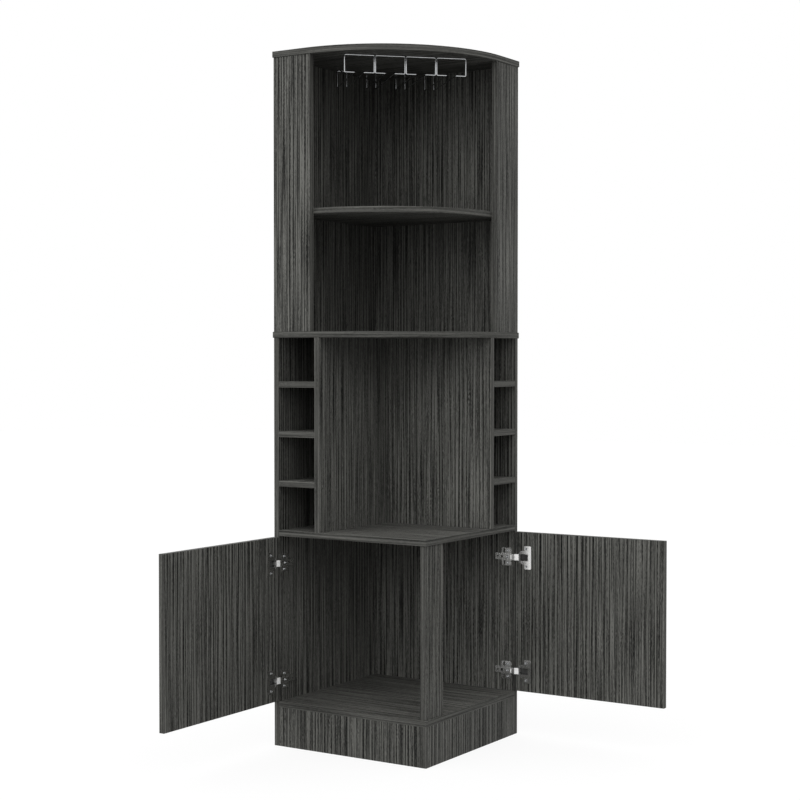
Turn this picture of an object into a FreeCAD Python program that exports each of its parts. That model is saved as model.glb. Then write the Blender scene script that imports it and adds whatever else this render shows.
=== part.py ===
import FreeCAD, Part
import math
import os

# A corner bar cabinet: a lower cupboard with two doors, eight bottle cubbies
# round an open niche, and a display top with a rounded shelf and a wire rack.
# Frame: origin at the back corner on the floor, +Z up. The left wall panel lies
# along x = 0, the right wall panel along y = 0, the left front faces -Y and the
# right front faces +X. Hinges and stiles mirror across the plane x + y = 0.

# Boards and the plan
board = 15.0
wall_side = 450.0
edge_radius = 0.8
plinth_height = 98.0
cupboard_height = 417.0
cubby_width = 109.0
cubby_height = 109.5
cubbies_high = 4
lower_display_height = 291.0
upper_display_height = 379.0
shelf_overhang = 2.0
top_corner_radius = 355.0
display_shelf_radius = 315.0
stile_width = 112.0
post_width = 82.0
post_setback = 4.0

# Doors, drawn open at a right angle, in line with the wall panels
door_thickness = 15.0
door_bottom_gap = 1.0
door_top_gap = 2.5
door_end_gap = 5.5
hinge_gap = 4.0
hinge_from_bottom = 52.0
hinge_from_top = 65.7

# Cup hinges: the pin sits in the cup, the arm hooks round it
pin_from_edge = 7.0
pin_depth = 7.5
pin_radius = 1.0
pin_length = 17.0
pin_fit = 0.02
pin_running_fit = 0.05
knuckle_radius = 1.9
knuckle_height = 8.0
cup_from_edge = 21.0
cup_radius = 17.5
cup_depth = 11.5
cup_fit = 0.1
cup_wall = 0.8
pocket_height = 17.4
pocket_depth = 10.0
cheek_end = 11.0
pocket_end = 35.5
recess_depth = 3.0
notch_height = 9.2
notch_depth = 4.5
flange_thickness = 1.2
flange_height = 60.0
flange_start = 24.2
flange_width = 20.5
flange_corner = 3.0
neck_start = 13.0
neck_bend = 15.5
neck_height = 20.4
neck_root_height = 34.0
cup_screw_from_edge = 30.5
cup_screw_spacing = 45.0
plate_thickness = 2.5
plate_front_inset = 8.0
plate_length = 29.0
plate_height = 46.0
plate_corner = 4.0
tail_length = 18.5
tail_height = 17.0
plate_hole_inset = 10.5
plate_slot_inset = 21.0
plate_hole_spacing = 32.0
plate_hole_radius = 2.4
plate_slot_length = 7.0
adjuster_inset = 26.5
adjuster_radius = 3.6
tail_hole_inset = 39.0
tail_hole_radius = 2.2
arm_thickness = 3.0
arm_height = 16.0
arm_rear_inset = 1.5
arm_slot_width = 3.0
arm_slot_height = 11.0
arm_slope_from_edge = 3.0
arm_nose_height = 2.2
arm_door_gap = 1.45
hook_back = 1.25

# Screws
screw_fit = 0.1
hinge_screw_radius = 1.75
hinge_screw_length = 12.0
hinge_screw_head_radius = 3.4
hinge_screw_head_height = 1.0
drive_radius = 2.3
drive_depth = 1.8
frame_screw_head_radius = 5.0
frame_screw_head_depth = 3.0
frame_screw_shank_radius = 3.5
frame_screw_thread_radius = 2.5
frame_screw_length = 50.0
frame_screw_inset = 105.0
frame_screw_drive_radius = 2.0
frame_screw_drive_depth = 2.2

# Dowels between the boards
dowel_radius = 4.0
dowel_length = 30.0
dowel_in_face = 10.0
dowel_fit = 0.1
dowel_end_room = 0.5
dowel_inset = 70.0

# Stem rack: four bent wire channels that hang under the top
channel_count = 4
channel_pitch = 78.0
channel_gap = 0.4
wire_radius = 1.5
wire_bend = 2.5
rack_drop = 43.0
rack_setback = 82.0
rack_wall_gap = 12.5
rail_spacing = 24.0
rack_screw_radius = 1.75
rack_screw_head_radius = 4.5
rack_screw_head_height = 1.2
rack_screw_length = 15.0

# Heights that follow
bottom_top = plinth_height + board
counter_under = bottom_top + cupboard_height
counter_top = counter_under + board
cubby_pitch = cubby_height + board
middle_under = counter_top + cubbies_high * cubby_pitch - board
middle_top = middle_under + board
display_shelf_under = middle_top + lower_display_height
display_shelf_top = display_shelf_under + board
top_under = display_shelf_top + upper_display_height
divider_near = board + cubby_width
divider_far = divider_near + board
door_foot = bottom_top + door_bottom_gap
door_head = counter_under - door_top_gap
hinge_heights = {"lower": door_foot + hinge_from_bottom, "upper": door_head - hinge_from_top}
door_hinge_end = wall_side + hinge_gap
left_door_width = wall_side - board
right_door_width = left_door_width - door_thickness - door_end_gap
pin_x = board - pin_depth
pin_y = -(door_hinge_end + pin_from_edge)

top_reach = wall_side + shelf_overhang
top_apex = (top_reach - top_corner_radius) * math.sqrt(2) + top_corner_radius
rack_front = top_apex - rack_setback
outer_rail = (channel_count - 1) / 2 * channel_pitch + rail_spacing / 2
rack_rear = outer_rail + (board + rack_wall_gap + wire_radius) * math.sqrt(2)
wire_top = top_under - wire_radius
# Smallest length that counts when edges are picked by their place
tiny = 1e-6

nodes = {}
X_AXIS = FreeCAD.Vector(1, 0, 0)
Y_AXIS = FreeCAD.Vector(0, 1, 0)
Z_AXIS = FreeCAD.Vector(0, 0, 1)


def vec(x, y, z):
    return FreeCAD.Vector(x, y, z)


def block(x0, x1, y0, y1, z0, z1):
    return Part.makeBox(x1 - x0, y1 - y0, z1 - z0, vec(x0, y0, z0))


def rod(radius, start, direction, length):
    return Part.makeCylinder(radius, length, start, direction)


def mirrored(shape):
    """The same piece mirrored to the cabinet's other side."""
    return shape.mirror(vec(0, 0, 0), vec(1, 1, 0))


def eased(shape, chosen):
    """Round the long edges that the test picks, as edge banding is rounded."""
    edges = [edge for edge in shape.Edges if edge.Length > 2 * board and chosen(edge.BoundBox)]
    return shape.makeFillet(edge_radius, edges)


def on_left_front(place):
    return lambda box: abs(box.YMin + place) < tiny and abs(box.YMax + place) < tiny


def on_right_front(place):
    return lambda box: abs(box.XMin - place) < tiny and abs(box.XMax - place) < tiny


def on_either_front(place):
    return lambda box: on_left_front(place)(box) or on_right_front(place)(box)


def rounded_panel(low, high, radius, z0):
    """A square board from low to high along both walls, its front corner round."""
    middle = high - radius
    knee = radius * math.sqrt(0.5)
    arc = Part.Arc(vec(middle, -high, z0), vec(middle + knee, -middle - knee, z0), vec(high, -middle, z0))
    points = [vec(high, -middle, z0), vec(high, -low, z0), vec(low, -low, z0), vec(low, -high, z0),
              vec(middle, -high, z0)]
    edges = [Part.makeLine(a, b) for a, b in zip(points, points[1:])]
    return Part.Face(Part.Wire(edges + [arc.toShape()])).extrude(vec(0, 0, board))


def rim_edges(box):
    return box.ZLength < tiny


# Cupboard: two wall panels on the floor, a plinth, a floor, a counter and a post
def make_cupboard():
    left = block(0, board, -wall_side, 0, 0, middle_under)
    nodes["left_wall_panel"] = eased(left, on_left_front(wall_side))
    right = block(board, wall_side, -board, 0, 0, middle_under)
    nodes["right_wall_panel"] = eased(right, on_right_front(wall_side))
    inner = wall_side - board
    nodes["left_plinth"] = block(board, inner, -wall_side, -inner, 0, plinth_height)
    nodes["right_plinth"] = block(inner, wall_side, -wall_side, -board, 0, plinth_height)
    for name, z0 in (("cupboard_floor", plinth_height), ("counter", counter_under)):
        panel = block(board, wall_side, -wall_side, -board, z0, z0 + board)
        nodes[name] = eased(panel, on_either_front(wall_side))
    face = wall_side - post_setback
    post = block(face - board, face, -face, post_width - face, bottom_top, counter_under)
    nodes["corner_post"] = eased(post, lambda box: abs(box.XMin - face) < tiny)


# Cubbies: two dividers and three shelves a side, open at the two fronts
def make_cubbies():
    left = block(divider_near, divider_far, -wall_side, -board, counter_top, middle_under)
    nodes["left_divider"] = eased(left, on_left_front(wall_side))
    right = block(divider_far, wall_side, -divider_far, -divider_near, counter_top, middle_under)
    nodes["right_divider"] = eased(right, on_right_front(wall_side))
    for number in range(1, cubbies_high):
        z1 = counter_top + number * cubby_pitch
        shelf = block(board, divider_near, -wall_side, -board, z1 - board, z1)
        nodes[f"left_cubby_shelf_{number}"] = eased(shelf, on_left_front(wall_side))
        shelf = block(divider_far, wall_side, -divider_near, -board, z1 - board, z1)
        nodes[f"right_cubby_shelf_{number}"] = eased(shelf, on_right_front(wall_side))


# Display top: wall panels and stiles between two rounded boards, and a round shelf
def make_display():
    for name, z0 in (("middle_shelf", middle_under), ("top", top_under)):
        nodes[name] = eased(rounded_panel(-shelf_overhang, top_reach, top_corner_radius, z0), rim_edges)
    inner = wall_side - board
    nodes["left_upper_panel"] = block(0, board, -inner, 0, middle_top, top_under)
    nodes["right_upper_panel"] = block(board, inner, -board, 0, middle_top, top_under)
    stile = block(0, stile_width, -wall_side, -inner, middle_top, top_under)
    nodes["left_stile"] = eased(stile, on_left_front(wall_side))
    nodes["right_stile"] = mirrored(nodes["left_stile"])
    shelf = rounded_panel(board, inner, display_shelf_radius, display_shelf_under)
    nodes["display_shelf"] = eased(shelf, lambda box: rim_edges(box) and box.XLength > 1 and box.YLength > 1)


# Doors: plain boards, bored for the cups and their screws
def make_door(width):
    door = block(board - door_thickness, board, -door_hinge_end - width, -door_hinge_end,
                 door_foot, door_head)
    door = eased(door, lambda box: True)
    for height in hinge_heights.values():
        centre = vec(board, -door_hinge_end - cup_from_edge, height)
        door = door.cut(rod(cup_radius + cup_fit, centre, -X_AXIS, cup_depth + cup_fit))
        for place in cup_screw_places(height):
            door = door.cut(rod(hinge_screw_radius + screw_fit, place, -X_AXIS, hinge_screw_length))
        door = door.cut(swing_notch(height))
    return door


def swing_notch(height):
    """Room in the cup's wall and the door's edge for the arm past a right angle."""
    mouth = board + flange_thickness
    return block(mouth - notch_depth, mouth, -door_hinge_end - cheek_end, -door_hinge_end,
                 height - notch_height / 2, height + notch_height / 2)


def cup_screw_places(height):
    y = -door_hinge_end - cup_screw_from_edge
    return [vec(board, y, height + side * cup_screw_spacing / 2) for side in (-1, 1)]


def plate_front():
    return wall_side - plate_front_inset


def plate_screw_places(height):
    y = plate_hole_inset - plate_front()
    return [vec(board, y, height + side * plate_hole_spacing / 2) for side in (-1, 1)]


# Mounting plate: a winged plate with a tail, two screw holes and two slots
def make_plate(height):
    front = plate_front()
    back = front - plate_length
    wings = block(board, board + plate_thickness, -front, -back,
                  height - plate_height / 2, height + plate_height / 2)
    corners = [edge for edge in wings.Edges if abs(edge.BoundBox.XLength - plate_thickness) < tiny]
    wings = wings.makeFillet(plate_corner, corners)
    tail = block(board, board + plate_thickness, -back, tail_length - back,
                 height - tail_height / 2, height + tail_height / 2)
    plate = wings.fuse(tail).removeSplitter()
    for place in plate_screw_places(height):
        plate = plate.cut(rod(plate_hole_radius, place, X_AXIS, plate_thickness))
        slot_y = place.y + plate_slot_inset - plate_hole_inset
        ends = (slot_y, place.z - plate_slot_length / 2), (slot_y, place.z + plate_slot_length / 2)
        for y, z in ends:
            plate = plate.cut(rod(plate_hole_radius, vec(board, y, z), X_AXIS, plate_thickness))
        plate = plate.cut(block(board, board + plate_thickness, slot_y - plate_hole_radius,
                                slot_y + plate_hole_radius, ends[0][1], ends[1][1]))
    plate = plate.cut(rod(hinge_screw_radius + screw_fit, on_arm_line(plate_hole_inset, height), X_AXIS,
                          plate_thickness))
    return cut_adjusters(plate, height)


def on_arm_line(inset, height):
    """A point on the wall panel's face under the arm, by its distance behind the plate's front."""
    return vec(board, inset - plate_front(), height)


def cut_adjusters(piece, height):
    """The adjuster hole and the tail hole go through the arm and the plate together."""
    through = plate_thickness + arm_thickness
    for inset, radius in ((adjuster_inset, adjuster_radius), (tail_hole_inset, tail_hole_radius)):
        piece = piece.cut(rod(radius, on_arm_line(inset, height), X_AXIS, through))
    return piece


def arm_screw_place(height):
    return on_arm_line(plate_hole_inset, height) + X_AXIS * (plate_thickness + arm_thickness)


# Hinge arm: a strip along the plate that slopes down past the cupboard's edge and hooks round the pin
def make_arm(height):
    inside = board + plate_thickness
    outside = inside + arm_thickness
    rear = plate_front() - plate_length - tail_length + arm_rear_inset
    slope = wall_side + arm_slope_from_edge
    nose = board + arm_nose_height
    near = pin_y + hook_back
    far = pin_y - knuckle_radius
    z0 = height - arm_height / 2
    profile = [(outside, -rear), (outside, -slope), (nose, far), (pin_x, far), (pin_x, near),
               (nose - arm_thickness, near), (inside, -slope), (inside, -rear)]
    outline = [vec(x, y, z0) for x, y in profile]
    arm = Part.Face(Part.makePolygon(outline + outline[:1])).extrude(vec(0, 0, arm_height))
    shoulder = (arm_height - knuckle_height) / 2
    for low in (z0, z0 + arm_height - shoulder):
        arm = arm.cut(block(pin_x, board + arm_door_gap, far, -slope, low, low + shoulder))
    knuckle_foot = vec(pin_x, pin_y, height - knuckle_height / 2)
    arm = arm.fuse(rod(knuckle_radius, knuckle_foot, Z_AXIS, knuckle_height))
    arm = arm.cut(rod(pin_radius + pin_running_fit, knuckle_foot, Z_AXIS, knuckle_height))
    lock = arm_screw_place(height)
    arm = arm.cut(rod(hinge_screw_radius + screw_fit, lock, -X_AXIS, arm_thickness))
    front = plate_front()
    arm = arm.cut(block(inside, outside, -front - arm_slot_width / 2, -front + arm_slot_width / 2,
                        height - arm_slot_height / 2, height + arm_slot_height / 2))
    return cut_adjusters(arm, height).removeSplitter()


# Hinge cup: a bored cup with a winged flange, its pocket open for the arm
def make_cup(height):
    def at(from_edge, z):
        return vec(board, -door_hinge_end - from_edge, height + z)

    half = [(neck_start, neck_height / 2), (neck_bend, neck_height / 2),
            (flange_start, neck_root_height / 2),
            (flange_start, flange_height / 2), (flange_start + flange_width, flange_height / 2)]
    outline = [at(u, z) for u, z in half] + [at(u, -z) for u, z in reversed(half)]
    flange = Part.Face(Part.makePolygon(outline + outline[:1])).extrude(X_AXIS * flange_thickness)
    corners = []
    for edge in flange.Edges:
        place = edge.CenterOfMass
        on_wing = abs(abs(place.z - height) - flange_height / 2) < tiny
        if on_wing and abs(edge.Length - flange_thickness) < tiny:
            corners.append(edge)
    flange = flange.makeFillet(flange_corner, corners)
    centre = at(cup_from_edge, 0)
    cup = flange.fuse(rod(cup_radius, centre, -X_AXIS, cup_depth))
    mouth = centre + X_AXIS * flange_thickness
    depth = flange_thickness + pocket_depth
    hollow = rod(cup_radius - cup_wall, mouth, -X_AXIS, depth)
    for first, last, tall in ((0, cheek_end, notch_height), (cheek_end, pocket_end, pocket_height)):
        slot = block(board - pocket_depth, board + flange_thickness, at(last, 0).y, at(first, 0).y,
                     height - tall / 2, height + tall / 2)
        cup = cup.cut(hollow.common(slot))
    recess = block(board - recess_depth, board + flange_thickness, at(neck_start, 0).y, at(0, 0).y,
                   height - cup_radius, height + cup_radius)
    cup = cup.cut(hollow.common(recess)).cut(swing_notch(height))
    for place in cup_screw_places(height):
        cup = cup.cut(rod(hinge_screw_radius + screw_fit, place, X_AXIS, flange_thickness))
    bore_foot = vec(pin_x, pin_y, height - pin_length / 2)
    return cup.cut(rod(pin_radius + pin_fit, bore_foot, Z_AXIS, pin_length)).removeSplitter()


def make_pin(height):
    return rod(pin_radius, vec(pin_x, pin_y, height - pin_length / 2), Z_AXIS, pin_length)


def revolved(profile, place, direction):
    """Turn a half profile of (radius, depth) points about the line at place."""
    points = [vec(radius, 0, depth) for radius, depth in profile]
    solid = Part.Face(Part.makePolygon(points + points[:1])).revolve(vec(0, 0, 0), Z_AXIS, 360)
    solid.Placement = FreeCAD.Placement(place, FreeCAD.Rotation(Z_AXIS, direction))
    return solid


def hinge_screw(place, direction, length):
    """A pan-head screw whose head bears on place and whose shank runs along direction."""
    head = hinge_screw_head_height
    return revolved([(0, drive_depth - head), (drive_radius, -head), (hinge_screw_head_radius, -head),
                     (hinge_screw_head_radius, 0), (hinge_screw_radius, 0),
                     (hinge_screw_radius, length - hinge_screw_radius), (0, length)], place, direction)


def hinge_pieces(height):
    plate_face = X_AXIS * plate_thickness
    flange_face = X_AXIS * flange_thickness
    plate_grip = hinge_screw_length - plate_thickness
    pieces = {
        "plate": make_plate(height),
        "arm": make_arm(height),
        "cup": make_cup(height),
        "pin": make_pin(height),
    }
    screws = [hinge_screw(place + plate_face, -X_AXIS, plate_grip) for place in plate_screw_places(height)]
    screws.append(hinge_screw(arm_screw_place(height), -X_AXIS, plate_grip))
    cup_screws = [hinge_screw(place + flange_face, -X_AXIS, hinge_screw_length - flange_thickness)
                  for place in cup_screw_places(height)]
    return pieces, screws, cup_screws


def hinge_bores(height):
    """Pilot holes in the wall panel for the plate's screws and the arm's lock screw."""
    places = plate_screw_places(height) + [on_arm_line(plate_hole_inset, height)]
    return [rod(hinge_screw_radius + screw_fit, place, -X_AXIS, hinge_screw_length) for place in places]


def make_doors_and_hinges():
    nodes["left_door"] = make_door(left_door_width)
    nodes["right_door"] = mirrored(make_door(right_door_width))
    plate_screws = []
    cup_screws = []
    for level, height in hinge_heights.items():
        pieces, on_plate, on_cup = hinge_pieces(height)
        for piece, shape in pieces.items():
            nodes[f"left_{level}_hinge_{piece}"] = shape
            nodes[f"right_{level}_hinge_{piece}"] = mirrored(shape)
        plate_screws += on_plate
        cup_screws += on_cup
        for bore in hinge_bores(height):
            nodes["left_wall_panel"] = nodes["left_wall_panel"].cut(bore)
            nodes["right_wall_panel"] = nodes["right_wall_panel"].cut(mirrored(bore))
    nodes["left_plate_screws"] = Part.makeCompound(plate_screws)
    nodes["left_cup_screws"] = Part.makeCompound(cup_screws)
    nodes["right_plate_screws"] = Part.makeCompound([mirrored(screw) for screw in plate_screws])
    nodes["right_cup_screws"] = Part.makeCompound([mirrored(screw) for screw in cup_screws])


# Stem rack: each channel is one closed wire, a wide front loop, two rails and a narrow rear loop
def bent_wire(points):
    pieces = []
    count = len(points)
    starts = []
    ends = []
    for index, corner in enumerate(points):
        before = (corner - points[index - 1]).normalize()
        after = (points[(index + 1) % count] - corner).normalize()
        entry = corner - before * wire_bend
        leave = corner + after * wire_bend
        centre = corner - before * wire_bend + after * wire_bend
        ring = Part.Face(Part.Wire(Part.makeCircle(wire_radius, entry, before)))
        pieces.append(ring.revolve(centre, before.cross(after), 90))
        starts.append(leave)
        ends.append(entry)
    for index in range(count):
        start = starts[index]
        run = ends[(index + 1) % count] - start
        pieces.append(rod(wire_radius, start, run, run.Length))
    return pieces[0].multiFuse(pieces[1:]).removeSplitter()


def rack_point(across, forward, z):
    """A point by its distance across the plane x + y = 0 and forward from the back corner."""
    half = math.sqrt(0.5)
    return vec((forward + across) * half, (across - forward) * half, z)


def channel_centre(number):
    return (number - (channel_count + 1) / 2) * channel_pitch


def make_channel():
    """One channel in its own axes: X across, -Y forward, the front wire's middle at the origin."""
    upright = (channel_pitch - channel_gap) / 2 - wire_radius
    rail = rail_spacing / 2
    rear = rack_front - rack_rear
    route = [(-upright, 0, 0), (upright, 0, 0), (upright, 0, -rack_drop), (rail, 0, -rack_drop),
             (rail, rear, -rack_drop), (rail, rear, 0), (-rail, rear, 0), (-rail, rear, -rack_drop),
             (-rail, 0, -rack_drop), (-upright, 0, -rack_drop)]
    return bent_wire([vec(x, y, z) for x, y, z in route])


def make_rack():
    into_corner = FreeCAD.Rotation(Z_AXIS, 45)
    for number in range(1, channel_count + 1):
        channel = make_channel()
        place = rack_point(channel_centre(number), rack_front, wire_top)
        channel.Placement = FreeCAD.Placement(place, into_corner)
        nodes[f"rack_loop_{number}"] = channel


def rack_screw_places():
    beside = wire_radius + rack_screw_radius + screw_fit
    lines = (rack_front - beside, rack_rear + beside)
    return [rack_point(channel_centre(number), line, top_under - 2 * wire_radius)
            for number in range(1, channel_count + 1) for line in lines]


def make_rack_screws():
    head = rack_screw_head_height
    profile = [(0, drive_depth - head), (drive_radius, -head), (rack_screw_head_radius, -head),
               (rack_screw_head_radius, 0), (rack_screw_radius, 0),
               (rack_screw_radius, rack_screw_length - rack_screw_radius), (0, rack_screw_length)]
    screws = [revolved(profile, place, Z_AXIS) for place in rack_screw_places()]
    nodes["rack_screws"] = Part.makeCompound(screws)
    for place in rack_screw_places():
        nodes["top"] = nodes["top"].cut(rod(rack_screw_radius + screw_fit, place, Z_AXIS, rack_screw_length))


# Frame screws: countersunk in the wall panels' outer faces, into the edges of the boards
def frame_screw(panel, fixed, place, direction):
    drive = frame_screw_drive_depth
    profile = [(0, drive), (frame_screw_drive_radius, 0), (frame_screw_head_radius, 0),
               (frame_screw_shank_radius, frame_screw_head_depth), (frame_screw_shank_radius, board),
               (frame_screw_thread_radius, board),
               (frame_screw_thread_radius, frame_screw_length - frame_screw_thread_radius),
               (0, frame_screw_length)]
    room = screw_fit
    hole = [(0, 0), (frame_screw_head_radius + room, 0),
            (frame_screw_shank_radius + room, frame_screw_head_depth),
            (frame_screw_shank_radius + room, board), (frame_screw_thread_radius + room, board),
            (frame_screw_thread_radius + room, frame_screw_length), (0, frame_screw_length)]
    cutter = revolved(hole, place, direction)
    nodes[panel] = nodes[panel].cut(cutter)
    nodes[fixed] = nodes[fixed].cut(cutter)
    return revolved(profile, place, direction)


def make_frame_screws():
    near = frame_screw_inset
    far = wall_side - frame_screw_inset
    screws = []
    for fixed, under in (("cupboard_floor", plinth_height), ("counter", counter_under)):
        z = under + board / 2
        screws += [frame_screw("left_wall_panel", fixed, vec(0, -p, z), X_AXIS) for p in (near, far)]
        screws += [frame_screw("right_wall_panel", fixed, vec(p, 0, z), -Y_AXIS) for p in (near, far)]
    for number in range(1, cubbies_high):
        z = counter_top + number * cubby_pitch - board / 2
        shelf = f"cubby_shelf_{number}"
        screws.append(frame_screw("left_wall_panel", "left_" + shelf, vec(0, -far, z), X_AXIS))
        screws.append(frame_screw("right_wall_panel", "right_" + shelf, vec(far, 0, z), -Y_AXIS))
    nodes["lower_frame_screws"] = Part.makeCompound(screws)
    z = display_shelf_under + board / 2
    screws = [frame_screw("left_upper_panel", "display_shelf", vec(0, -p, z), X_AXIS) for p in (near, far)]
    screws += [frame_screw("right_upper_panel", "display_shelf", vec(p, 0, z), -Y_AXIS) for p in (near, far)]
    nodes["display_shelf_screws"] = Part.makeCompound(screws)


# Dowels: short in the face of one board, longer in the edge of the other
def dowel(face_board, edge_board, place, direction):
    start = place - direction * dowel_in_face
    bore = rod(dowel_radius + dowel_fit, start - direction * dowel_end_room, direction,
               dowel_length + 2 * dowel_end_room)
    nodes[face_board] = nodes[face_board].cut(bore)
    nodes[edge_board] = nodes[edge_board].cut(bore)
    return rod(dowel_radius, start, direction, dowel_length)


def make_dowels():
    half = board / 2
    far = wall_side - dowel_inset
    lower = []
    upper = []
    divider = divider_near + half
    for p in (dowel_inset, far):
        lower.append(dowel("middle_shelf", "left_wall_panel", vec(half, -p, middle_under), -Z_AXIS))
        lower.append(dowel("middle_shelf", "right_wall_panel", vec(p, -half, middle_under), -Z_AXIS))
    lower.append(dowel("counter", "left_divider", vec(divider, -far, counter_top), Z_AXIS))
    lower.append(dowel("counter", "right_divider", vec(far, -divider, counter_top), Z_AXIS))
    lower.append(dowel("middle_shelf", "left_divider", vec(divider, -far, middle_under), -Z_AXIS))
    lower.append(dowel("middle_shelf", "right_divider", vec(far, -divider, middle_under), -Z_AXIS))
    for number in range(1, cubbies_high):
        z = counter_top + number * cubby_pitch - half
        shelf = f"cubby_shelf_{number}"
        lower.append(dowel("left_divider", "left_" + shelf, vec(divider_near, -far, z), -X_AXIS))
        lower.append(dowel("right_divider", "right_" + shelf, vec(far, -divider_near, z), Y_AXIS))
    for z in (counter_top + dowel_inset, middle_under - dowel_inset):
        lower.append(dowel("left_divider", "right_divider", vec(divider_far, -divider, z), X_AXIS))
    nodes["cubby_dowels"] = Part.makeCompound(lower)
    base = []
    plinth_line = wall_side - half
    plinth_middle = plinth_height / 2
    base.append(dowel("left_wall_panel", "left_plinth", vec(board, -plinth_line, plinth_middle), X_AXIS))
    base.append(dowel("right_wall_panel", "right_plinth", vec(plinth_line, -board, plinth_middle), -Y_AXIS))
    corner = vec(wall_side - board, -plinth_line, plinth_middle)
    base.append(dowel("right_plinth", "left_plinth", corner, -X_AXIS))
    for p in (dowel_inset, far):
        base.append(dowel("cupboard_floor", "left_plinth", vec(p, -plinth_line, plinth_height), -Z_AXIS))
        base.append(dowel("cupboard_floor", "right_plinth", vec(plinth_line, -p, plinth_height), -Z_AXIS))
    post_x = wall_side - post_setback - half
    post_y = post_setback - wall_side + post_width / 2
    base.append(dowel("cupboard_floor", "corner_post", vec(post_x, post_y, bottom_top), Z_AXIS))
    base.append(dowel("counter", "corner_post", vec(post_x, post_y, counter_under), -Z_AXIS))
    nodes["cupboard_dowels"] = Part.makeCompound(base)
    near = 2 * dowel_inset
    far = wall_side - 2 * dowel_inset
    for level, z, up in (("middle_shelf", middle_top, Z_AXIS), ("top", top_under, -Z_AXIS)):
        for p in (near, far):
            upper.append(dowel(level, "left_upper_panel", vec(half, -p, z), up))
            upper.append(dowel(level, "right_upper_panel", vec(p, -half, z), up))
        upper.append(dowel(level, "left_stile", vec(dowel_inset, -plinth_line, z), up))
        upper.append(dowel(level, "right_stile", vec(plinth_line, -dowel_inset, z), up))
    for z in (middle_top + dowel_inset, top_under - dowel_inset):
        inner = wall_side - board
        upper.append(dowel("left_stile", "left_upper_panel", vec(half, -inner, z), Y_AXIS))
        upper.append(dowel("right_stile", "right_upper_panel", vec(inner, -half, z), -X_AXIS))
    nodes["display_dowels"] = Part.makeCompound(upper)


make_cupboard()
make_cubbies()
make_display()
make_doors_and_hinges()
make_rack()
make_rack_screws()
make_frame_screws()
make_dowels()

os.makedirs("parts", exist_ok=True)
for name, shape in nodes.items():
    assert shape.isValid(), name
    shape.exportStep(f"parts/{name}.step")
print(len(nodes), "nodes", sum(len(shape.Solids) for shape in nodes.values()), "solids")
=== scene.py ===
import bmesh
import bpy
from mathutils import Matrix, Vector


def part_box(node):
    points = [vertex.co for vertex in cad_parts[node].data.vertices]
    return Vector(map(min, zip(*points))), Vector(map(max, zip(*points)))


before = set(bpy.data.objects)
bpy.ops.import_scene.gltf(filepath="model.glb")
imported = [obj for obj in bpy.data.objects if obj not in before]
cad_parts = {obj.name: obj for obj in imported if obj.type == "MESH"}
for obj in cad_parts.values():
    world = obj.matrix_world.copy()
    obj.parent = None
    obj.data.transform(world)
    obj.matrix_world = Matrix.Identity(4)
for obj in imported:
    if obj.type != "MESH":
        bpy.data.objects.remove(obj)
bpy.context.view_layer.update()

# Boards: the cabinet is sawn from board faced with melamine, printed and pressed with a charcoal
# wood grain, and put together with dowels and screws. Each board is cut from another place in the
# sheet, so no two grains line up.


class Tone:
    """A shader value: Python arithmetic on it adds Math nodes to its finish."""

    def __init__(self, finish, socket):
        self.finish = finish
        self.socket = socket

    def maths(self, operation, first, second):
        return self.finish.node("ShaderNodeMath", {"operation": operation}, {0: first, 1: second})

    def __add__(self, other):
        return self.maths("ADD", self, other)

    def __radd__(self, other):
        return self.maths("ADD", other, self)

    def __sub__(self, other):
        return self.maths("SUBTRACT", self, other)

    def __rsub__(self, other):
        return self.maths("SUBTRACT", other, self)

    def __mul__(self, other):
        return self.maths("MULTIPLY", self, other)

    def __rmul__(self, other):
        return self.maths("MULTIPLY", other, self)

    def above_zero(self):
        return self.maths("MAXIMUM", self, 0.0)


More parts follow.
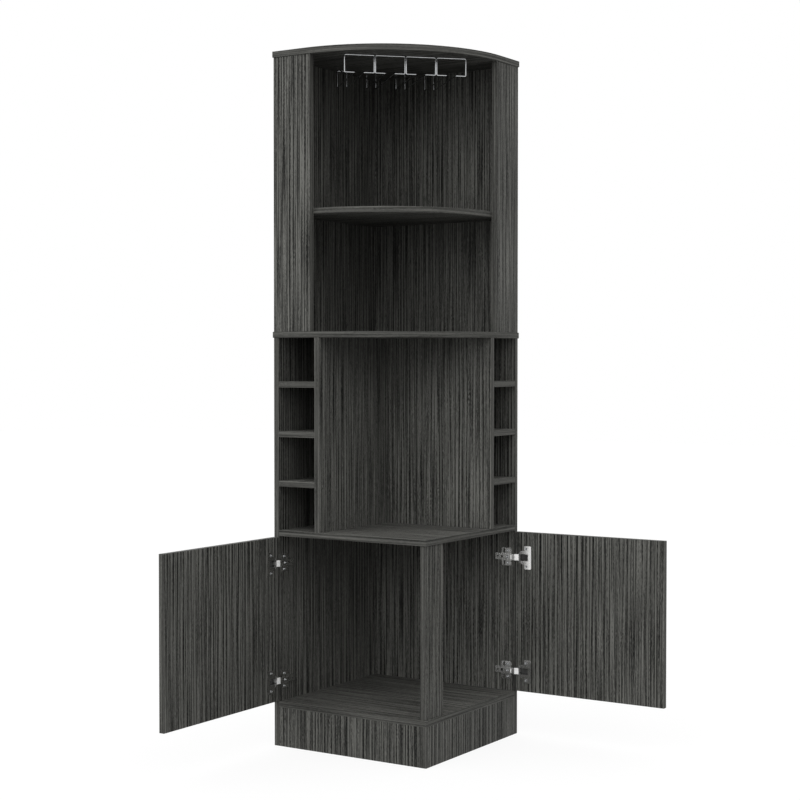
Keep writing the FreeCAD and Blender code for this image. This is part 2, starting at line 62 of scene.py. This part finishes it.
class Finish:
    """The nodes of one material, or of the room's light."""

    def __init__(self, owner):
        owner.use_nodes = True
        self.owner = owner
        self.tree = owner.node_tree
        self.tree.nodes.clear()

    def node(self, kind, settings, sockets, output=0):
        """Adds a node: first its settings, then the values or links of its sockets."""
        made = self.tree.nodes.new(kind)
        for name, value in settings.items():
            if name == "stops":
                ramp = made.color_ramp.elements
                while len(ramp) < len(value):
                    ramp.new(0.5)
                for stop, (position, colour) in zip(ramp, value):
                    stop.position = position
                    stop.color = colour
            else:
                setattr(made, name, value)
        for name, value in sockets.items():
            if isinstance(value, Tone):
                self.tree.links.new(value.socket, made.inputs[name])
            else:
                made.inputs[name].default_value = value
        if made.outputs:
            return Tone(self, made.outputs[output])

    def surface(self, shader):
        self.node("ShaderNodeOutputMaterial", {}, {"Surface": shader})
        return self.owner

    def places(self):
        """Where each point lies on the piece at rest, in metres."""
        return self.node("ShaderNodeTexCoord", {}, {}, "Object")

    def parts(self, vector):
        """The X, Y and Z of a place or a direction."""
        split = self.node("ShaderNodeSeparateXYZ", {}, {"Vector": vector})
        return [Tone(self, socket) for socket in split.socket.node.outputs]

    def noise(self, scale, detail):
        """Noise from 0 to 1, with about this many grains to the metre."""
        return self.node("ShaderNodeTexNoise", {},
                         {"Vector": self.places(), "Scale": scale, "Detail": detail})

    def streaks(self, across, along, width, run, start):
        """Noise from 0 to 1 in streaks of about this width and run, in metres."""
        place = self.node("ShaderNodeCombineXYZ", {}, {"X": across * (1.0 / width) + start,
                                                        "Y": along * (1.0 / run) + start})
        return self.node("ShaderNodeTexNoise", {"noise_dimensions": "2D"},
                         {"Vector": place, "Scale": 1.0, "Detail": 0.0})

    def step(self, value, low, high):
        """0 below low and 1 above high, with a smooth step between them."""
        return self.node("ShaderNodeMapRange", {"interpolation_type": "SMOOTHSTEP"},
                         {"Value": value, "From Min": low, "From Max": high})

    def blend(self, share, first, second):
        """The first colour where the share is 0, and the second where it is 1."""
        return self.node("ShaderNodeMix", {"data_type": "RGBA"},
                         {0: share, 6: (*first, 1.0), 7: (*second, 1.0)}, 2)

    def relief(self, height, strength, depth):
        return self.node("ShaderNodeBump", {}, {"Height": height, "Strength": strength, "Distance": depth})

    def seen(self):
        """1 where the camera looks, straight, in a mirror or through glass, and 0 for other light."""
        straight = self.node("ShaderNodeLightPath", {}, {}, "Is Camera Ray")
        mirrored = self.node("ShaderNodeLightPath", {}, {}, "Is Glossy Ray")
        through = self.node("ShaderNodeLightPath", {}, {}, "Is Transmission Ray")
        return straight + mirrored + through


def new_finish(name):
    return Finish(bpy.data.materials.new(name))


def dress(node, material):
    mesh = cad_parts[node].data
    mesh.materials.clear()
    mesh.materials.append(material)


def warm_grey(level):
    blue_share = 0.925
    return (level, level, blue_share * level, 1.0)


noise_mean = 0.5


def melamine(node, grain, start):
    """Charcoal print: even lines along the grain of the faces, and along the band on each edge."""
    lowest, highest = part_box(node)
    sides = [highest[axis] - lowest[axis] for axis in range(3)]
    thickness = sides.index(min(sides))
    lengthwise = "XYZ".index(grain)
    widthwise = 3 - thickness - lengthwise
    finish = new_finish(f"charcoal_{node}")
    spot = finish.parts(finish.places())
    facing = finish.parts(finish.node("ShaderNodeTexCoord", {}, {}, "Normal"))[thickness]
    on_face = finish.step(facing * facing, low=0.3, high=0.7)
    across = spot[thickness] + on_face * (spot[widthwise] - spot[thickness])
    along = spot[lengthwise] + (1.0 - on_face) * spot[widthwise]

    def lines(spacing, run, shift):
        """Dark and light lines in turn, from about -0.5 to 0.5, mostly this far apart."""
        width = 0.65 * spacing
        half = 0.5 * spacing
        side_share = 0.3
        mean = noise_mean * (1.0 - 2.0 * side_share)
        middle = finish.streaks(across, along, width, run, start + shift)
        before = finish.streaks(across - half, along, width, run, start + shift)
        after = finish.streaks(across + half, along, width, run, start + shift)
        return middle - mean - side_share * (before + after)

    fine_lines = lines(spacing=0.0074, run=0.9, shift=0.0)
    broad_lines = lines(spacing=0.0125, run=0.5, shift=37.0)
    fibres = finish.streaks(across, along, width=0.0026, run=0.22, start=start + 53.0) - noise_mean
    fleck_sway = 0.08
    swayed = along + fleck_sway * fibres
    flecks = finish.streaks(across, swayed, width=0.0030, run=0.006, start=start + 83.0) - noise_mean
    bands = finish.streaks(across, along, width=0.03, run=1.5, start=start + 11.0) - noise_mean
    print_lines = 0.62 * fine_lines + 0.34 * broad_lines + 0.95 * fibres + 0.8 * flecks + 0.12 * bands

    mean_tone = 0.62
    edge_strength = 0.45
    print_tone = mean_tone + print_lines * (edge_strength + (1.0 - edge_strength) * on_face)
    stops = [(0.10, warm_grey(0.005)), (0.36, warm_grey(0.030)), (0.52, warm_grey(0.060)),
             (0.70, warm_grey(0.104)), (0.95, warm_grey(0.185))]
    shader = finish.node("ShaderNodeBsdfPrincipled", {}, {
        "Base Color": finish.node("ShaderNodeValToRGB", {"stops": stops}, {"Fac": print_tone}),
        "Roughness": 0.66 - 0.14 * print_tone,
        "Specular IOR Level": 0.1,
        "Normal": finish.relief(print_tone, strength=0.35, depth=0.0004)})
    return finish.surface(shader)


# Upright boards stand on their ends with the grain running up: the wall panels, dividers,
# stiles and post, both doors, and the plinth, whose boards are cut across the sheet. All but the
# doors, which hang on the hinges, stand between or under the flat boards.
upright_boards = ["left_wall_panel", "right_wall_panel", "left_plinth", "right_plinth", "corner_post",
                  "left_divider", "right_divider", "left_upper_panel", "right_upper_panel",
                  "left_stile", "right_stile", "left_door", "right_door"]
upright_step = 3.1
for number, node in enumerate(upright_boards):
    dress(node, melamine(node, "Z", start=upright_step * number))

# Flat boards: the grain runs along their faces, and the band glued to their front edge
# carries a grain of its own that follows the edge, also round the curved fronts.
flat_boards = {"cupboard_floor": "X", "counter": "X", "middle_shelf": "X", "display_shelf": "X", "top": "X"}
for number in (1, 2, 3):
    flat_boards[f"left_cubby_shelf_{number}"] = "Y"
    flat_boards[f"right_cubby_shelf_{number}"] = "X"
flat_start = 50.0
flat_step = 2.7
for number, (node, grain) in enumerate(flat_boards.items()):
    dress(node, melamine(node, grain, start=flat_start + flat_step * number))


# Cup hinges: plates and arms stamped from steel sheet and nickel plated, with a faint cloudiness
# from the bath and fine scuffs from the tooling. The plates are screwed to the wall panels, and
# the arms, painted whiter than the plates as a painted highlight, are brushed in front, where they slope
# over the door to the pin.
def plated(finish, colour, roughness, spread, scuffs):
    """Plating whose roughness varies by this spread in scuffs of about this many to the metre."""
    clouded_share = 0.88
    clouded_colour = [clouded_share * part for part in colour]
    clouds = finish.noise(scale=90.0, detail=3.0)
    marks = finish.noise(scale=scuffs, detail=4.0)
    shader = finish.node("ShaderNodeBsdfPrincipled", {}, {
        "Base Color": finish.blend(clouds, clouded_colour, colour),
        "Metallic": 1.0,
        "Roughness": roughness + spread * (marks - noise_mean),
        "Normal": finish.relief(marks, strength=0.06, depth=0.0001)})
    return finish.surface(shader)


def reach(node, axis, sign):
    """How far a piece goes along an axis, in the direction of the sign."""
    return max(sign * corner[axis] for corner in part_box(node))


nickel_roughness = 0.16
brushed_roughness = 0.55
slope_gap = 0.0015
slope_blend = 0.001
nickel = plated(new_finish("nickel_plate"), (0.82, 0.82, 0.81), nickel_roughness,
                spread=0.06, scuffs=2200.0)
for hand, axis, outward in (("left", 1, -1.0), ("right", 0, 1.0)):
    arm = new_finish(f"{hand}_hinge_arm")
    slope_start = reach(f"{hand}_wall_panel", axis, outward) + slope_gap
    brushed = arm.step(outward * arm.parts(arm.places())[axis], slope_start, slope_start + slope_blend)
    arm_roughness = nickel_roughness + (brushed_roughness - nickel_roughness) * brushed
    # Painted highlight: the arms' nickel is coloured whiter than the plates' nickel, to make their fronts
    # bright.
    painted_bright_arm_nickel = plated(arm, (0.97, 0.97, 0.96), arm_roughness, spread=0.06, scuffs=2200.0)
    for level in ("lower", "upper"):
        dress(f"{hand}_{level}_hinge_plate", nickel)
        dress(f"{hand}_{level}_hinge_pin", nickel)
        dress(f"{hand}_{level}_hinge_arm", painted_bright_arm_nickel)


# Hinge cups: pressed from steel and nickel plated. The flange lies on the door's inner face, and
# the pocket behind it, let into the door, is painted dark, matte and unplated as painted shade.
def pocketed(name, axis, inward, shade, lip, colour, roughness):
    """Plating down to the lip of a pocket, and painted shade, dark and matte, from the shade's depth on."""
    finish = new_finish(name)
    # Painted shade: below the shade's depth the colour is near black and not metallic, standing in for the
    # shade deep in the pocket.
    painted_shade_colour = (0.05, 0.05, 0.048)
    pocket_roughness = 0.62
    spread = 0.1
    outside = finish.step(inward * finish.parts(finish.places())[axis], shade, lip)
    marks = finish.noise(scale=900.0, detail=3.0)
    plain_roughness = pocket_roughness + (roughness - pocket_roughness) * outside
    shader = finish.node("ShaderNodeBsdfPrincipled", {}, {
        "Base Color": finish.blend(outside, painted_shade_colour, colour),
        "Metallic": outside,
        "Roughness": plain_roughness + spread * (marks - noise_mean),
        "Normal": finish.relief(marks, strength=0.06, depth=0.0001)})
    return finish.surface(shader)


lip_height = 0.0005
shade_depth = 0.0045
for hand, axis, inward in (("left", 0, 1.0), ("right", 1, -1.0)):
    door_face = reach(f"{hand}_door", axis, inward)
    cup = pocketed(f"{hand}_hinge_cup", axis, inward, door_face - shade_depth, door_face + lip_height,
                   colour=(0.78, 0.78, 0.77), roughness=0.08)
    for level in ("lower", "upper"):
        dress(f"{hand}_{level}_hinge_cup", cup)

# Stem rack: four channels bent from round steel wire, each closed by a butt weld and bright
# chromed, and held up under the top by screws.
chrome = plated(new_finish("bright_chrome"), (0.58, 0.59, 0.60), roughness=0.20, spread=0.10, scuffs=1500.0)
for number in (1, 2, 3, 4):
    dress(f"rack_loop_{number}", chrome)

# Screws: zinc plated steel, duller than the hinges, with a conical recess for the driver. On the
# cups' screws, which lie in full view on the door, the deep part of the recess is painted dark as painted
# shade.
zinc_colour = (0.50, 0.51, 0.52)
zinc_roughness = 0.22
zinc = plated(new_finish("zinc_screws"), zinc_colour, zinc_roughness, spread=0.10, scuffs=3000.0)
for node in ("left_plate_screws", "right_plate_screws", "rack_screws", "lower_frame_screws",
             "display_shelf_screws"):
    dress(node, zinc)
# Painted shade: on the cups' screws the colour below recess_shade in the drive recess is near black.
recess_lip = 0.0005
recess_shade = 0.0009
for hand, axis, inward in (("left", 0, 1.0), ("right", 1, -1.0)):
    cup_screws = f"{hand}_cup_screws"
    head_face = reach(cup_screws, axis, inward)
    dress(cup_screws, pocketed(cup_screws, axis, inward, head_face - recess_shade, head_face - recess_lip,
                               zinc_colour, zinc_roughness))

# Dowels: round pins of bare beech, which join the boards. They are glued into blind holes, half
# in each board, and no part of them shows on the finished cabinet.
beech = new_finish("bare_beech")
beech_x, beech_y, beech_z = beech.parts(beech.places())
rings = beech.streaks(beech_x + beech_y, beech_z, width=0.002, run=0.016, start=0.0)
beech_stops = [(0.3, (0.42, 0.25, 0.12, 1.0)), (0.7, (0.62, 0.42, 0.24, 1.0))]
bare_beech = beech.surface(beech.node("ShaderNodeBsdfPrincipled", {}, {
    "Base Color": beech.node("ShaderNodeValToRGB", {"stops": beech_stops}, {"Fac": rings}),
    "Roughness": 0.7}))
for node in ("cubby_dowels", "cupboard_dowels", "display_dowels"):
    dress(node, bare_beech)

# Floor: a wide, plain sheet, which shows white with the cabinet's soft shadow on it and throws
# little light back up at the cabinet.
floor_half_width = 14.0
floor_mesh = bpy.data.meshes.new("pale_floor")
floor_form = bmesh.new()
bmesh.ops.create_grid(floor_form, x_segments=1, y_segments=1, size=floor_half_width)
floor_form.to_mesh(floor_mesh)
floor_form.free()
floor = bpy.data.objects.new("pale_floor", floor_mesh)
bpy.context.scene.collection.objects.link(floor)
white = (1.0, 1.0, 1.0, 1.0)
white_share = 0.88
pale = new_finish("pale_floor")
lit_sheet = pale.node("ShaderNodeBsdfDiffuse", {}, {"Color": (0.95, 0.95, 0.95, 1.0)})
white_sheet = pale.node("ShaderNodeEmission", {}, {"Color": white, "Strength": 1.0})
seen_sheet = pale.node("ShaderNodeMixShader", {}, {0: white_share, 1: lit_sheet, 2: white_sheet})
dull_sheet = pale.node("ShaderNodeBsdfDiffuse", {}, {"Color": (0.22, 0.22, 0.22, 1.0)})
sheet = pale.node("ShaderNodeMixShader", {}, {0: pale.seen(), 1: dull_sheet, 2: seen_sheet})
floor_mesh.materials.append(pale.surface(sheet))

# Soft studio light: a white room that is brightest overhead, and has a wide, soft screen in front
# of the cabinet's left front. Seen straight, or mirrored in the metal, the room is plain white.
room = Finish(bpy.data.worlds.new("white_room"))
bpy.context.scene.world = room.owner
heading = room.parts(room.node("ShaderNodeTexCoord", {}, {}, "Generated"))
overhead = heading[2].above_zero()
to_screen = (-1.0 * heading[1]).above_zero()
ceiling = room.node("ShaderNodeBackground", {}, {"Color": white, "Strength": 1.64})
screen = room.node("ShaderNodeBackground", {}, {"Color": white, "Strength": 0.98})
from_ceiling = room.node("ShaderNodeMixShader", {}, {0: overhead, 2: ceiling})
from_screen = room.node("ShaderNodeMixShader", {}, {0: to_screen, 2: screen})
soft_light = room.node("ShaderNodeAddShader", {}, {0: from_ceiling, 1: from_screen})
white_walls = room.node("ShaderNodeBackground", {}, {"Color": white, "Strength": 1.0})
room_light = room.node("ShaderNodeMixShader", {}, {0: room.seen(), 1: soft_light, 2: white_walls})
room.node("ShaderNodeOutputWorld", {}, {"Surface": room_light})

# Camera: a long lens about a metre over the floor and a little over four metres from the middle of
# the cabinet, almost level, and turned a little more to the left front than to the right one.
camera = bpy.data.cameras.new("studio_camera")
camera.lens = 74.53
camera.sensor_width = 36.0
gaze = Vector((-0.5407, 0.8407, -0.0244))
eye = bpy.data.objects.new("studio_camera", camera)
eye.location = (2.5169, -3.7781, 0.9734)
eye.rotation_euler = gaze.to_track_quat("-Z", "Y").to_euler()
bpy.context.scene.collection.objects.link(eye)
bpy.context.scene.camera = eye
bpy.context.scene.view_settings.view_transform = "Standard"
